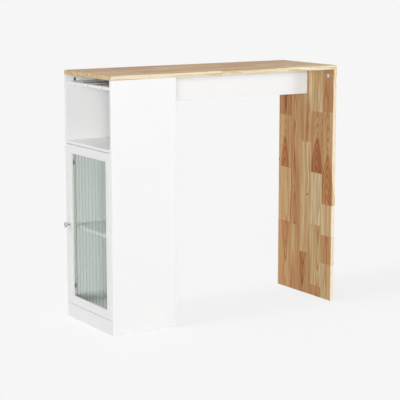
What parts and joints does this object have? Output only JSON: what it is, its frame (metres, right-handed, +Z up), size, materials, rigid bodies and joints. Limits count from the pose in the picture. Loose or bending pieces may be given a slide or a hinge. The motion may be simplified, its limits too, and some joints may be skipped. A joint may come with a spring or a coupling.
{
  "type": "bar table with storage cabinet",
  "caption": "Tall narrow kitchen table: wood top on a white cabinet with a fluted-glass door, shelves and a glass rack at one end and a wood panel leg at the other, tied by an apron.",
  "frame": {"origin": "on the floor, at the middle of the object's outline, knob included", "axes": "+X along the table from the cabinet to the wood panel, +Y to the rear, +Z up. The door faces -X."},
  "size_m": [1.146, 0.4, 1.05],
  "materials": {
    "jointed_wood": "clear satin lacquer over finger-jointed staves",
    "white_lacquer": "smooth satin white lacquer",
    "birch": "bare birch",
    "reeded_glass": "pale green-grey glass, fluted on the inner side",
    "chrome": "polished chrome plate",
    "steel": "zinc-plated steel",
    "zinc": "die-cast zinc",
    "magnet": "ferrite, matt",
    "white_plastic": "white moulded plastic",
    "grey_plastic": "grey moulded plastic",
    "nylon": "natural nylon"
  },
  "bodies": {
    "table": {"tabletop": "jointed_wood", "end_panel": "jointed_wood", "front_side_panel": "white_lacquer", "rear_side_panel": "white_lacquer", "back_panel": "white_lacquer", "bottom_board": "white_lacquer", "plinth": "white_lacquer", "fixed_shelf": "white_lacquer", "stemware_rack": "white_lacquer", "middle_shelf": "white_lacquer", "apron": "white_lacquer", "shelf_pins": "steel", "cam_locks": "zinc", "cam_bolts": "steel", "cam_caps": "white_plastic", "loose_tongues": "birch", "pivot_bushes": "nylon", "catch_magnet": "magnet", "catch_housing": "white_plastic"},
    "door": {"door_stile_hinge_side": "white_lacquer", "door_stile_knob_side": "white_lacquer", "door_rail_bottom": "white_lacquer", "door_rail_top": "white_lacquer", "mitre_splines": "birch", "door_glass": "reeded_glass", "glass_clips": "grey_plastic", "pivot_pins": "steel", "door_knob": "chrome", "knob_screw": "steel", "strike_plate": "steel"}
  },
  "joints": [
    {"name": "door_hinge", "type": "hinge", "parent": "table", "child": "door", "pos_m": [-0.541, -0.18, 0.4025], "axis": [0, 0, 1], "range_deg": [0, 100]}
  ]
}
